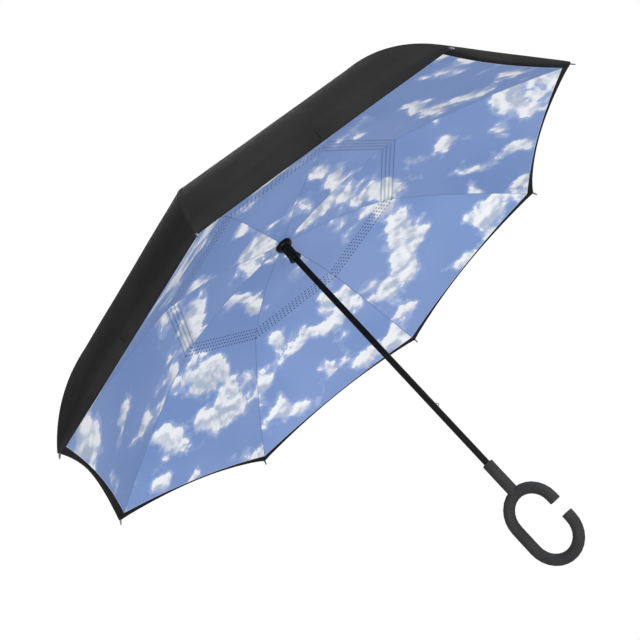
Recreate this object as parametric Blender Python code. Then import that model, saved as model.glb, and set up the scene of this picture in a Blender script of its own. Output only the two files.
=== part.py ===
"""An inverted umbrella with a C-shaped handle, open. Metres, with +Z up the shaft.

The origin is the centre of the handle's loop, on the axis of the shaft. The loop lies in the X-Z plane
and opens towards +X. The runner is drawn at the top of its travel, which is where it holds the canopy
open. Pulling it down folds the ribs upward, with the lining outside.
"""

import math

import bmesh
import bpy
from mathutils import Matrix, Vector

# Clearances and the fineness of round pieces
SEAT_GAP = 0.0003
RUNNING_GAP = 0.0004
OVERRUN = 0.002
ROUND_SIDES = 24
SMALL_SIDES = 10
WIRE_SIDES = 6

# Overall layout
RIB_COUNT = 8
RIB_STEP = 2 * math.pi / RIB_COUNT
RIB_AZIMUTH = math.radians(16.5)
RIM_R = 0.530
RIM_Z = 0.4833
RUNNER_RISE = 0.1480
RUNNER_PIVOT_Z = RIM_Z + RUNNER_RISE
HUB_SPACING = 0.0730
NOTCH_PIVOT_Z = RUNNER_PIVOT_Z + HUB_SPACING

# Handle
LOOP_TUBE_R = 0.0092
LOOP_R = 0.0398
LOOP_SPACING = 0.0397
LOOP_GAP = 0.0232
LOOP_CHAMFER = 0.0008
LOOP_ARC_STEPS = 15
LOOP_SIDES = 18
STEM_R = 0.0093
STEM_TOP_Z = 0.1218
STEM_CHAMFER = 0.0005
SHAFT_IN_STEM = 0.045

# Shaft, a steel tube
SHAFT_R = 0.0054
SHAFT_WALL = 0.0008
SHAFT_BORE_R = SHAFT_R - SHAFT_WALL
SHAFT_BOTTOM_Z = STEM_TOP_Z - SHAFT_IN_STEM
HUB_BORE_R = SHAFT_R + SEAT_GAP

# Cross pins
PIN_R = 0.0010
PIN_HOLE_R = PIN_R + SEAT_GAP
PIN_AZIMUTH = RIB_AZIMUTH + RIB_STEP / 2
STOP_PIN_LENGTH = 0.0170
NOTCH_PIN_LENGTH = 0.0240

# Eyes and the wires that string them round the hubs
EYE_R = 0.0022
EYE_HOLE_R = 0.0009
EYE_HOLE_SIDES = 6
HUB_WIRE_R = 0.0005
WIRE_CAVITY_R = 0.0009
HUB_WIRE_STEPS = 24
TONGUE_WIDTH = 0.0022
TONGUE_HEIGHT = 0.0036
HUB_SLOT_WIDTH = TONGUE_WIDTH + 2 * SEAT_GAP

# Runner
RUNNER_PIVOT_R = 0.0110
RUNNER_SLOT_R = 0.0085
RUNNER_CROWN_R = 0.0135
RUNNER_NECK_R = 0.0090
RUNNER_SKIRT_R = 0.0117
RUNNER_LIP = 0.0015
RUNNER_FLARE_HEIGHT = 0.0095
RUNNER_FLARE_STEPS = 4
RUNNER_FLARE_POWER = 1.3
RUNNER_DROP = 0.0453
CROWN_RISE = 0.0040
CROWN_DROP = 0.0085
RUNNER_SLOT_DROP = 0.0048
RUNNER_BOTTOM_Z = RUNNER_PIVOT_Z - RUNNER_DROP
CROWN_TOP_Z = RUNNER_PIVOT_Z + CROWN_RISE
CROWN_BOTTOM_Z = RUNNER_PIVOT_Z - CROWN_DROP
WINDOW_DROP = 0.0235
WINDOW_WIDTH = 0.0032
WINDOW_HEIGHT = 0.0100
WINDOW_Z = RUNNER_PIVOT_Z - WINDOW_DROP

# Domed disc that clamps the lining under the runner's crown
DISC_R = 0.0155
DISC_EDGE = 0.0028
DISC_DOME = 0.0052
DISC_CROWN_R = 0.0112
DISC_STEPS = 5

# Top notch, the fixed hub at the top of the shaft
NOTCH_PIVOT_R = 0.0100
NOTCH_SLOT_R = 0.0074
NOTCH_R = 0.0135
NOTCH_DROP = 0.0065
NOTCH_RISE = 0.0085
NOTCH_FLANGE_R = 0.0145
NOTCH_FLANGE = 0.0030
NOTCH_SLOT_RISE = 0.0030
NOTCH_PIN_RISE = 0.0060
NOTCH_TOP_Z = NOTCH_PIVOT_Z + NOTCH_RISE + NOTCH_FLANGE

# Ribs: a steel channel from the runner to the joint, then a bent fibreglass rod to the rim
JOINT_R = 0.2345
JOINT_RISE = 0.1640
JOINT_Z = RIM_Z + JOINT_RISE
CHANNEL_WIDTH = 0.0036
CHANNEL_HEIGHT = 0.0040
CHANNEL_WALL = 0.0007
TONGUE_LENGTH = 0.0120
CHANNEL_END_BACK = 0.0045
ROD_R = 0.0015
ROD_START_SLOPE = math.radians(2.0)
ROD_STEPS = 8
ROD_SIDES = 6
KNUCKLE_STEPS = 2

# Joint piece that carries the stretcher's pivot
JOINT_WIDTH = 0.0054
JOINT_LENGTH = 0.0160
JOINT_BELOW = 0.0028
JOINT_ABOVE = 0.0030
PIVOT_BACK = 0.0080
PIVOT_UP = 0.0050
EAR_R = 0.0024

# Stretchers
FORK_BLADE = 0.0008
FORK_LENGTH = 0.0700
STRETCHER_WIDTH = 0.0038
STRETCHER_GROOVE = 0.0022
STRETCHER_ROOF = 0.0010
CLOSED_PIVOT_R = 0.0140

# Rib tips
TIP_SLEEVE_R = 0.0022
TIP_SLEEVE_LENGTH = 0.0100
TIP_FLOOR = 0.0010
TIP_PIN_R = 0.0016
TIP_END_R = 0.0011
TIP_PIN_LENGTH = 0.0095

# Catches, bent from spring wire, that hold the runner at each end of its travel
CATCH_WIRE_R = 0.0006
CATCH_TAIL_X = 0.0030
CATCH_BOW_X = 0.0084
CATCH_BOW_HALF = 0.0045
CATCH_PEAK_SHARE = 0.35
CATCH_TAIL = 0.0300
CATCH_TOE = 0.0060
CATCH_BOW_STEPS = 8
CATCH_SLOT_SHARE = 1.45
CATCH_SLOT_HALF = CATCH_SLOT_SHARE * CATCH_BOW_HALF

# Canopy and lining, thin cloth stretched over the ribs
CLOTH = 0.0006
CLOTH_LIFT = 0.0031
CANOPY_CENTRE_Z = NOTCH_TOP_Z + SEAT_GAP + CLOTH / 2
CANOPY_HOLE_R = HUB_BORE_R / math.cos(RIB_STEP / 2)
CANOPY_CENTRE_SLOPE = -0.30
CANOPY_INNER_ROWS = 4
LINING_HOLE_R = (RUNNER_NECK_R + SEAT_GAP) / math.cos(RIB_STEP / 2)
LINING_CENTRE_SLOPE = 0.05
LINING_CENTRE_Z = CROWN_BOTTOM_Z - SEAT_GAP - CLOTH / 2
RING_R = 0.2548
RING_RISE = 0.1245
RING_Z = RIM_Z + RING_RISE
RING_SLOPE_IN = -0.22
RING_SLOPE_OUT = -0.36
LINING_RIM_SLOPE = -0.56
LINING_INNER_ROWS = 5
LINING_OUTER_ROWS = 5
PANEL_STEPS = 5
HEM_SAG = 0.0160
HEM_SAG_POWER = 4

# Ferrule
FERRULE_R = 0.0125
FERRULE_EDGE = 0.0020
FERRULE_TOP_R = 0.0060
FERRULE_HEIGHT = 0.0175
FERRULE_TOP_WALL = 0.0060
FERRULE_STEPS = 5
FERRULE_BASE_Z = CANOPY_CENTRE_Z + CLOTH / 2 + SEAT_GAP
FERRULE_TOP_Z = FERRULE_BASE_Z + FERRULE_HEIGHT
SHAFT_TOP_Z = FERRULE_TOP_Z - FERRULE_TOP_WALL - SEAT_GAP


def rib_line():
    """The rib's slope at rest between the runner and the joint, and the channel's length."""
    across = JOINT_R - RUNNER_PIVOT_R
    rise = JOINT_Z - RUNNER_PIVOT_Z
    return math.atan2(rise, across), math.hypot(across, rise)


def stretcher_pin():
    """Radius and height of the pivot where the stretcher meets the rib."""
    slope, _ = rib_line()
    r = JOINT_R - PIVOT_BACK * math.cos(slope) - PIVOT_UP * math.sin(slope)
    z = JOINT_Z - PIVOT_BACK * math.sin(slope) + PIVOT_UP * math.cos(slope)
    return r, z


def stretcher_line():
    """The stretcher's slope at rest and its length between pivots."""
    r, z = stretcher_pin()
    return math.atan2(z - NOTCH_PIVOT_Z, r - NOTCH_PIVOT_R), math.hypot(z - NOTCH_PIVOT_Z, r - NOTCH_PIVOT_R)


def runner_travel():
    """How far the runner slides down until rib and stretcher lie along the shaft."""
    r, z = stretcher_pin()
    rib = math.hypot(r - RUNNER_PIVOT_R, z - RUNNER_PIVOT_Z)
    _, stretcher = stretcher_line()
    below = math.sqrt(rib**2 - (CLOSED_PIVOT_R - RUNNER_PIVOT_R) ** 2)
    above = math.sqrt(stretcher**2 - (CLOSED_PIVOT_R - NOTCH_PIVOT_R) ** 2)
    return above + below - HUB_SPACING


def rod_arc():
    """Centre (r, z), radius, first and last angle from the vertical of the rod's arc."""
    across, drop = RIM_R - JOINT_R, JOINT_Z - RIM_Z
    chord, chord_angle = math.hypot(across, drop), math.atan2(drop, across)
    half_turn = chord_angle + ROD_START_SLOPE
    radius = chord / (2 * math.sin(half_turn))
    first, last = -ROD_START_SLOPE, 2 * chord_angle + ROD_START_SLOPE
    return JOINT_R - radius * math.sin(first), JOINT_Z - radius * math.cos(first), radius, first, last


def on_arc(angle, lift=0.0):
    """A point (r, z) of the rod's arc, lifted from its centreline."""
    r, z, radius, _, _ = rod_arc()
    return r + (radius + lift) * math.sin(angle), z + (radius + lift) * math.cos(angle)


def arc_angle(step):
    _, _, _, first, last = rod_arc()
    return first + (last - first) * step / ROD_STEPS


def hermite(start, start_slope, end, end_slope, share):
    """A point on the cubic between two (r, z) points with the given slopes."""
    width = end[0] - start[0]
    a, b = 2 * share**3 - 3 * share**2 + 1, 3 * share**2 - 2 * share**3
    c, d = share**3 - 2 * share**2 + share, share**3 - share**2
    z = a * start[1] + b * end[1] + width * (c * start_slope + d * end_slope)
    return start[0] + width * share, z


def canopy_profile():
    """Rib line of the outer canopy: a tensioned slope from the notch, then the rod's arc."""
    touch = on_arc(arc_angle(1), CLOTH_LIFT)
    flange = (NOTCH_FLANGE_R / math.cos(RIB_STEP / 2), CANOPY_CENTRE_Z)
    points = [(CANOPY_HOLE_R, CANOPY_CENTRE_Z)]
    for i in range(CANOPY_INNER_ROWS):
        share = i / CANOPY_INNER_ROWS
        points.append(hermite(flange, CANOPY_CENTRE_SLOPE, touch, -math.tan(arc_angle(1)), share))
    points += [on_arc(arc_angle(i), CLOTH_LIFT) for i in range(1, ROD_STEPS + 1)]
    return points


def lining_profile():
    """Rib line of the lining: nearly flat to the perforated ring, then a taut slope to the rim."""
    start = (DISC_R / math.cos(RIB_STEP / 2), LINING_CENTRE_Z)
    ring = (RING_R, RING_Z)
    rim = on_arc(arc_angle(ROD_STEPS), -CLOTH_LIFT)
    points = [(LINING_HOLE_R, LINING_CENTRE_Z)]
    for i in range(LINING_INNER_ROWS):
        share = i / LINING_INNER_ROWS
        points.append(hermite(start, LINING_CENTRE_SLOPE, ring, RING_SLOPE_IN, share))
    for i in range(LINING_OUTER_ROWS + 1):
        share = i / LINING_OUTER_ROWS
        points.append(hermite(ring, RING_SLOPE_OUT, rim, LINING_RIM_SLOPE, share))
    return points


def clear_scene():
    for thing in list(bpy.data.objects):
        bpy.data.objects.remove(thing, do_unlink=True)


def material(name, colour, roughness, metallic=0.0):
    made = bpy.data.materials.new(name)
    made.use_nodes = True
    shader = made.node_tree.nodes["Principled BSDF"]
    shader.inputs["Base Color"].default_value = (*colour, 1.0)
    shader.inputs["Roughness"].default_value = roughness
    shader.inputs["Metallic"].default_value = metallic
    made.diffuse_color = (*colour, 1.0)
    return made


def as_mesh(bm, name):
    """A mesh from a bmesh, with its faces turned outward."""
    bmesh.ops.recalc_face_normals(bm, faces=bm.faces)
    mesh = bpy.data.meshes.new(name)
    bm.to_mesh(mesh)
    bm.free()
    return mesh


def place(name, mesh, finish, parent=None, matrix=None):
    """One object of the umbrella, smooth where its faces nearly meet."""
    mesh.shade_smooth()
    mesh.set_sharp_from_angle(angle=math.radians(40))
    thing = bpy.data.objects.new(name, mesh)
    bpy.context.collection.objects.link(thing)
    if not mesh.materials:
        mesh.materials.append(finish)
    thing.parent = parent
    if matrix is not None:
        thing.matrix_local = matrix
    return thing


def empty(name, matrix, parent=None):
    thing = bpy.data.objects.new(name, None)
    bpy.context.collection.objects.link(thing)
    thing.parent = parent
    thing.matrix_local = matrix
    return thing


def combine(base, others, operation):
    """The mesh of a base solid after an exact Boolean with each of the others in turn."""
    collection = bpy.context.collection
    for other in others:
        body = bpy.data.objects.new("body", base)
        tool = bpy.data.objects.new("tool", other)
        for thing in (body, tool):
            collection.objects.link(thing)
        step = body.modifiers.new("step", "BOOLEAN")
        step.operation = operation
        step.solver = "EXACT"
        step.object = tool
        ready = body.evaluated_get(bpy.context.evaluated_depsgraph_get())
        result = bpy.data.meshes.new_from_object(ready)
        for thing in (body, tool):
            bpy.data.objects.remove(thing, do_unlink=True)
        base = result
    return base


def revolve(profile, sides, name):
    """A solid turned about Z from a closed outline of (r, z) points; a point at r zero is a pole."""
    bm = bmesh.new()
    rings = []
    for r, z in profile:
        if r == 0:
            rings.append([bm.verts.new((0, 0, z))])
            continue
        angles = [2 * math.pi * i / sides for i in range(sides)]
        rings.append([bm.verts.new((r * math.cos(a), r * math.sin(a), z)) for a in angles])
    hollow = all(len(ring) > 1 for ring in rings)
    pairs = list(zip(rings, rings[1:]))
    if hollow:
        pairs.append((rings[-1], rings[0]))
    for low, high in pairs:
        for i in range(sides):
            j = (i + 1) % sides
            corners = [low[i % len(low)], low[j % len(low)], high[j % len(high)], high[i % len(high)]]
            corners = list(dict.fromkeys(corners))
            if len(corners) > 2:
                bm.faces.new(corners)
    return as_mesh(bm, name)


def prism(outline, depth, name, plane="XZ"):
    """An outline drawn in a plane and extruded by depth, half to each side."""
    bm = bmesh.new()
    spots = {"XZ": lambda u, v, w: (u, w, v), "XY": lambda u, v, w: (u, v, w)}[plane]
    low = [bm.verts.new(spots(u, v, -depth / 2)) for u, v in outline]
    high = [bm.verts.new(spots(u, v, depth / 2)) for u, v in outline]
    bm.faces.new(low)
    bm.faces.new(high)
    for i in range(len(outline)):
        j = (i + 1) % len(outline)
        bm.faces.new((low[i], low[j], high[j], high[i]))
    return as_mesh(bm, name)


def block(x, y, z, name="block"):
    """A box from its (low, high) spans along each axis."""
    outline = [(x[0], z[0]), (x[1], z[0]), (x[1], z[1]), (x[0], z[1])]
    made = prism(outline, y[1] - y[0], name)
    made.transform(Matrix.Translation((0, (y[0] + y[1]) / 2, 0)))
    return made


def rod_between(start, end, radius, sides, name):
    """A round bar between two points."""
    a, b = Vector(start), Vector(end)
    made = revolve([(0, 0), (radius, 0), (radius, (b - a).length), (0, (b - a).length)], sides, name)
    turn = (b - a).to_track_quat("Z", "Y").to_matrix().to_4x4()
    made.transform(Matrix.Translation(a) @ turn)
    return made


def sweep(path, radii, sides, name):
    """A tube in the X-Z plane along a path of (x, z) points, with a radius at each; zero is a pole."""
    bm = bmesh.new()
    rings = []
    for i, (x, z) in enumerate(path):
        before, after = path[max(i - 1, 0)], path[min(i + 1, len(path) - 1)]
        along = Vector((after[0] - before[0], 0, after[1] - before[1])).normalized()
        across = Vector((along.z, 0, -along.x))
        centre = Vector((x, 0, z))
        if radii[i] == 0:
            rings.append([bm.verts.new(centre)])
            continue
        angles = [2 * math.pi * (k + 0.5) / sides for k in range(sides)]
        spokes = [across * math.cos(a) + Vector((0, 1, 0)) * math.sin(a) for a in angles]
        rings.append([bm.verts.new(centre + s * radii[i]) for s in spokes])
    for low, high in zip(rings, rings[1:]):
        for i in range(sides):
            j = (i + 1) % sides
            corners = [low[i % len(low)], low[j % len(low)], high[j % len(high)], high[i % len(high)]]
            corners = list(dict.fromkeys(corners))
            if len(corners) > 2:
                bm.faces.new(corners)
    for ring in (rings[0], rings[-1]):
        if len(ring) > 1:
            bm.faces.new(ring)
    return as_mesh(bm, name)


def torus(ring_r, tube_r, z, steps, sides, name):
    """A closed ring of round wire about Z."""
    angles = [2 * math.pi * i / sides for i in range(sides)]
    return revolve([(ring_r + tube_r * math.cos(a), z + tube_r * math.sin(a)) for a in angles], steps, name)


def arc_points(centre, radius, start, end, steps):
    """Points of a circular arc, both ends included."""
    turns = [start + (end - start) * i / steps for i in range(steps + 1)]
    return [(centre[0] + radius * math.cos(a), centre[1] + radius * math.sin(a)) for a in turns]


def turned(mesh, angle):
    """A copy of a mesh turned about Z."""
    copy = mesh.copy()
    copy.transform(Matrix.Rotation(angle, 4, "Z"))
    return copy


def cross_hole(z, radius, length):
    """A cutter for a cross pin's hole, square to the shaft."""
    reach = Vector((math.cos(PIN_AZIMUTH), math.sin(PIN_AZIMUTH), 0)) * (length / 2)
    centre = Vector((0, 0, z))
    return rod_between(centre - reach, centre + reach, radius, SMALL_SIDES, "cross_hole")


def handle_mesh():
    """A C-shaped loop of round tube under a straight stem that takes the shaft."""
    half = LOOP_SPACING / 2
    arm = LOOP_GAP / 2
    path = [(LOOP_R, -arm), (LOOP_R, -arm - LOOP_CHAMFER)]
    path += arc_points((0, -half), LOOP_R, 0, -math.pi, LOOP_ARC_STEPS)
    path += arc_points((0, half), LOOP_R, math.pi, 0, LOOP_ARC_STEPS)
    path += [(LOOP_R, arm + LOOP_CHAMFER), (LOOP_R, arm)]
    radii = [LOOP_TUBE_R] * len(path)
    radii[0] = radii[-1] = LOOP_TUBE_R - LOOP_CHAMFER
    loop = sweep(path, radii, LOOP_SIDES, "handle")
    stem_foot = half + LOOP_R
    outline = [(0, stem_foot), (STEM_R, stem_foot), (STEM_R, STEM_TOP_Z - STEM_CHAMFER)]
    outline += [(STEM_R - STEM_CHAMFER, STEM_TOP_Z), (0, STEM_TOP_Z)]
    stem = revolve(outline, ROUND_SIDES, "stem")
    socket_foot = SHAFT_BOTTOM_Z - SEAT_GAP
    socket = rod_between((0, 0, socket_foot), (0, 0, STEM_TOP_Z + OVERRUN), HUB_BORE_R, ROUND_SIDES, "socket")
    return combine(combine(loop, [stem], "UNION"), [socket], "DIFFERENCE")


def shaft_mesh():
    """The tube, with a slot and a foot hole for each catch and holes for the two cross pins."""
    outline = [(SHAFT_BORE_R, SHAFT_BOTTOM_Z), (SHAFT_R, SHAFT_BOTTOM_Z)]
    outline += [(SHAFT_R, SHAFT_TOP_Z), (SHAFT_BORE_R, SHAFT_TOP_Z)]
    tube = revolve(outline, ROUND_SIDES, "shaft")
    cuts = [cross_hole(z, PIN_HOLE_R, 2 * SHAFT_R + 2 * OVERRUN) for z in (stop_pin_z(), notch_pin_z())]
    slot_half = CATCH_WIRE_R + SEAT_GAP
    through = (SHAFT_BORE_R / 2, SHAFT_R + OVERRUN)
    for z, up in catch_places():
        slot = (z - CATCH_SLOT_HALF, z + CATCH_SLOT_HALF)
        cuts.append(block(through, (-slot_half, slot_half), slot, "slot"))
        foot = z + up * CATCH_TAIL
        hole = (foot - slot_half, foot + slot_half)
        cuts.append(block(through, (-slot_half, slot_half), hole, "foot_hole"))
    return combine(tube, cuts, "DIFFERENCE")


def stop_pin_z():
    return CROWN_TOP_Z + RUNNING_GAP + PIN_R


def notch_pin_z():
    return NOTCH_PIVOT_Z + NOTCH_PIN_RISE


def catch_places():
    """Height of each catch's bow, and the side on which its tail runs, up or down."""
    return [(WINDOW_Z - runner_travel(), 1), (WINDOW_Z, -1)]


def catch_mesh(up):
    """Spring wire: a foot hooked in the shaft, a tail inside it, and a bow that stands out of its slot."""
    bow_foot = CATCH_TAIL_X + CATCH_WIRE_R
    path = [(SHAFT_R, up * CATCH_TAIL), (CATCH_TAIL_X, up * CATCH_TAIL)]
    path += [(CATCH_TAIL_X, up * (CATCH_TAIL - CATCH_TOE)), (CATCH_TAIL_X, up * CATCH_BOW_HALF)]
    rise = CATCH_BOW_X - bow_foot
    for i in range(1, CATCH_BOW_STEPS):
        share = i / CATCH_BOW_STEPS
        skewed = share ** (1 + CATCH_PEAK_SHARE)
        height = up * CATCH_BOW_HALF * (1 - 2 * share)
        path.append((bow_foot + rise * math.sin(math.pi * skewed), height))
    path += [(CATCH_TAIL_X, -up * CATCH_BOW_HALF), (CATCH_TAIL_X, -up * (CATCH_BOW_HALF + CATCH_TOE))]
    return sweep(path, [CATCH_WIRE_R] * len(path), WIRE_SIDES, "catch")


def hub_slots(inner_r, outer_r, low, high):
    """Cutters for the radial slots of a hub, one for each rib."""
    slot = block((inner_r, outer_r), (-HUB_SLOT_WIDTH / 2, HUB_SLOT_WIDTH / 2), (low, high), "slot")
    return [turned(slot, RIB_AZIMUTH + RIB_STEP * i) for i in range(RIB_COUNT)]


def runner_mesh():
    """A sleeve with a flared skirt, a window for the catches and a slotted crown for the ribs."""
    outline = [(HUB_BORE_R, RUNNER_BOTTOM_Z), (RUNNER_SKIRT_R - RUNNER_LIP, RUNNER_BOTTOM_Z)]
    for i in range(RUNNER_FLARE_STEPS + 1):
        share = i / RUNNER_FLARE_STEPS
        r = RUNNER_NECK_R + (RUNNER_SKIRT_R - RUNNER_NECK_R) * (1 - share) ** RUNNER_FLARE_POWER
        outline.append((r, RUNNER_BOTTOM_Z + RUNNER_LIP + RUNNER_FLARE_HEIGHT * share))
    outline += [(RUNNER_NECK_R, CROWN_BOTTOM_Z), (RUNNER_CROWN_R, CROWN_BOTTOM_Z)]
    outline += [(RUNNER_CROWN_R, CROWN_TOP_Z), (HUB_BORE_R, CROWN_TOP_Z)]
    body = revolve(outline, ROUND_SIDES, "runner")
    floor = RUNNER_PIVOT_Z - RUNNER_SLOT_DROP
    cuts = hub_slots(RUNNER_SLOT_R, RUNNER_CROWN_R + OVERRUN, floor, CROWN_TOP_Z + OVERRUN)
    cuts.append(torus(RUNNER_PIVOT_R, WIRE_CAVITY_R, RUNNER_PIVOT_Z, HUB_WIRE_STEPS, WIRE_SIDES, "cavity"))
    window = (WINDOW_Z - WINDOW_HEIGHT / 2, WINDOW_Z + WINDOW_HEIGHT / 2)
    reach = (SHAFT_R / 2, RUNNER_NECK_R + OVERRUN)
    cuts.append(block(reach, (-WINDOW_WIDTH / 2, WINDOW_WIDTH / 2), window, "window"))
    return combine(body, cuts, "DIFFERENCE")


def disc_mesh():
    """A glossy domed cap that clamps the lining's centre to the runner."""
    top = LINING_CENTRE_Z - CLOTH / 2 - SEAT_GAP
    bore = RUNNER_NECK_R + SEAT_GAP
    outline = [(bore, top), (DISC_R, top)]
    for i in range(DISC_STEPS + 1):
        turn = math.pi / 2 * i / DISC_STEPS
        r = DISC_CROWN_R + (DISC_R - DISC_CROWN_R) * math.cos(turn)
        outline.append((r, top - DISC_EDGE - DISC_DOME * math.sin(turn)))
    outline.append((bore, top - DISC_EDGE - DISC_DOME))
    return revolve(outline, ROUND_SIDES, "lining_disc")


def notch_mesh():
    """The fixed hub: a slotted crown under a flange that carries the canopy's centre."""
    bottom, shoulder = NOTCH_PIVOT_Z - NOTCH_DROP, NOTCH_PIVOT_Z + NOTCH_RISE
    outline = [(HUB_BORE_R, bottom), (NOTCH_R, bottom), (NOTCH_R, shoulder)]
    outline += [(NOTCH_FLANGE_R, shoulder), (NOTCH_FLANGE_R, NOTCH_TOP_Z), (HUB_BORE_R, NOTCH_TOP_Z)]
    body = revolve(outline, ROUND_SIDES, "top_notch")
    roof = NOTCH_PIVOT_Z + NOTCH_SLOT_RISE
    cuts = hub_slots(NOTCH_SLOT_R, NOTCH_R + OVERRUN, bottom - OVERRUN, roof)
    cuts.append(torus(NOTCH_PIVOT_R, WIRE_CAVITY_R, NOTCH_PIVOT_Z, HUB_WIRE_STEPS, WIRE_SIDES, "cavity"))
    cuts.append(cross_hole(notch_pin_z(), PIN_HOLE_R, 2 * NOTCH_R + 2 * OVERRUN))
    return combine(body, cuts, "DIFFERENCE")


def ferrule_mesh():
    """The cap on the shaft's end, over the canopy's centre, with a flat top."""
    bore_top = SHAFT_TOP_Z + SEAT_GAP
    outline = [(0, FERRULE_BASE_Z), (FERRULE_R, FERRULE_BASE_Z)]
    waist = FERRULE_BASE_Z + FERRULE_EDGE
    for i in range(FERRULE_STEPS + 1):
        share = i / FERRULE_STEPS
        r = FERRULE_TOP_R + (FERRULE_R - FERRULE_TOP_R) * (1 - share) ** 2
        outline.append((r, waist + (FERRULE_TOP_Z - waist) * share))
    outline.append((0, FERRULE_TOP_Z))
    solid = revolve(outline, ROUND_SIDES, "ferrule")
    bore = rod_between((0, 0, FERRULE_BASE_Z - OVERRUN), (0, 0, bore_top), HUB_BORE_R, ROUND_SIDES, "bore")
    return combine(solid, [bore], "DIFFERENCE")


def eye_plate(length, width, ends):
    """A flat bar along X with a round eye at x zero, and at the far end if ends is two."""
    half = TONGUE_HEIGHT / 2
    lean = math.asin(half / EYE_R)
    outline = arc_points((0, 0), EYE_R, lean, 2 * math.pi - lean, SMALL_SIDES)
    if ends == 2:
        outline += arc_points((length, 0), EYE_R, lean - math.pi, math.pi - lean, SMALL_SIDES)
    else:
        outline += [(length, -half), (length, half)]
    return prism(outline, width, "plate")


def eye_hole(x):
    """A cutter for the hole that the hub's wire runs through."""
    return rod_between((x, -JOINT_WIDTH, 0), (x, JOINT_WIDTH, 0), EYE_HOLE_R, EYE_HOLE_SIDES, "hole")


def channel_mesh():
    """The rib's inner length: a pressed channel, open below, flattened to an eye at the runner."""
    _, length = rib_line()
    end = length - CHANNEL_END_BACK
    tongue = eye_plate(TONGUE_LENGTH + CHANNEL_WIDTH, TONGUE_WIDTH, 1)
    top = TONGUE_HEIGHT / 2
    half = CHANNEL_WIDTH / 2
    body = block((TONGUE_LENGTH, end), (-half, half), (top - CHANNEL_HEIGHT, top), "channel")
    whole = combine(tongue, [body], "UNION")
    groove_half = half - CHANNEL_WALL
    groove_start = TONGUE_LENGTH + CHANNEL_WIDTH + TONGUE_WIDTH
    floor = top - CHANNEL_HEIGHT - OVERRUN
    groove = block((groove_start, end + OVERRUN), (-groove_half, groove_half), (floor, top - CHANNEL_WALL))
    return combine(whole, [groove, eye_hole(0)], "DIFFERENCE")


def joint_mesh():
    """The piece clipped over the channel's end, with the ear where the stretcher pivots."""
    _, length = rib_line()
    outer_end = length - ROD_R - RUNNING_GAP
    start = outer_end - JOINT_LENGTH
    half = JOINT_WIDTH / 2
    pin_x = length - PIVOT_BACK
    outline = [(start, -JOINT_BELOW), (outer_end, -JOINT_BELOW), (outer_end, JOINT_ABOVE)]
    outline += [(pin_x + EAR_R, JOINT_ABOVE)]
    outline += arc_points((pin_x, PIVOT_UP), EAR_R, 0, math.pi, SMALL_SIDES // 2)
    outline += [(pin_x - EAR_R, JOINT_ABOVE), (start, JOINT_ABOVE)]
    body = prism(outline, JOINT_WIDTH, "rib_joint")
    socket_half = CHANNEL_WIDTH / 2 + SEAT_GAP
    top = TONGUE_HEIGHT / 2 + SEAT_GAP
    bottom = TONGUE_HEIGHT / 2 - CHANNEL_HEIGHT - SEAT_GAP
    seat = length - CHANNEL_END_BACK + SEAT_GAP
    socket = block((start - OVERRUN, seat), (-socket_half, socket_half), (bottom, top), "socket")
    return combine(body, [socket], "DIFFERENCE")


def rod_mesh():
    """The rib's outer length: a round fibreglass rod, drawn bent as the open canopy bends it."""
    path, radii = [], []
    _, _, radius, first, last = rod_arc()
    for i in range(KNUCKLE_STEPS + 1):
        turn = math.pi / 2 * i / (KNUCKLE_STEPS + 1)
        back = ROD_R * math.cos(turn)
        path.append((-back * math.cos(first), back * math.sin(first)))
        radii.append(ROD_R * math.sin(turn))
    stop = last - (TIP_FLOOR + SEAT_GAP) / radius
    for i in range(ROD_STEPS + 1):
        angle = min(arc_angle(i), stop)
        r, z = on_arc(angle)
        path.append((r - JOINT_R, z - JOINT_Z))
        radii.append(ROD_R)
    return sweep(path, radii, ROD_SIDES, "rib_rod")


def stretcher_mesh():
    """A pressed bar from the notch that forks round the rib, with an eye at each end."""
    _, length = stretcher_line()
    inner = JOINT_WIDTH / 2 + SEAT_GAP
    outer = inner + FORK_BLADE
    root = length - FORK_LENGTH
    waist = STRETCHER_WIDTH / 2
    tongue = TONGUE_WIDTH / 2
    side = [(-2 * EYE_R, tongue), (TONGUE_LENGTH, tongue), (TONGUE_LENGTH + waist, waist)]
    side += [(root - outer, waist), (root, outer), (length + 2 * EYE_R, outer)]
    side += [(length + 2 * EYE_R, inner), (root + inner, inner)]
    plan = side + [(x, -y) for x, y in reversed(side)]
    bar = prism(plan, 2 * EYE_R + 2 * OVERRUN, "stretcher", plane="XY")
    shape = eye_plate(length, 2 * outer + 2 * OVERRUN, 2)
    body = combine(shape, [bar], "INTERSECT")
    groove_half = STRETCHER_GROOVE / 2
    top = TONGUE_HEIGHT / 2 - STRETCHER_ROOF
    span = (TONGUE_LENGTH + 2 * waist, root + inner + OVERRUN)
    groove = block(span, (-groove_half, groove_half), (-EYE_R - OVERRUN, top), "groove")
    return combine(body, [groove, eye_hole(0), eye_hole(length)], "DIFFERENCE")


def tip_mesh():
    """The metal tip: a sleeve over the rod's end and a short pin past the cloth, along local X."""
    bore = ROD_R + SEAT_GAP
    outline = [(0, -TIP_SLEEVE_LENGTH), (TIP_SLEEVE_R, -TIP_SLEEVE_LENGTH), (TIP_SLEEVE_R, 0)]
    outline += [(TIP_PIN_R, 0), (TIP_PIN_R, TIP_PIN_LENGTH / 2)]
    outline += [(TIP_END_R, TIP_PIN_LENGTH - TIP_END_R), (TIP_END_R / 2, TIP_PIN_LENGTH), (0, TIP_PIN_LENGTH)]
    solid = revolve(outline, SMALL_SIDES, "rib_tip")
    cut = rod_between((0, 0, -TIP_SLEEVE_LENGTH - OVERRUN), (0, 0, -TIP_FLOOR), bore, SMALL_SIDES, "bore")
    made = combine(solid, [cut], "DIFFERENCE")
    made.transform(Matrix.Rotation(math.pi / 2, 4, "Y"))
    return made


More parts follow.
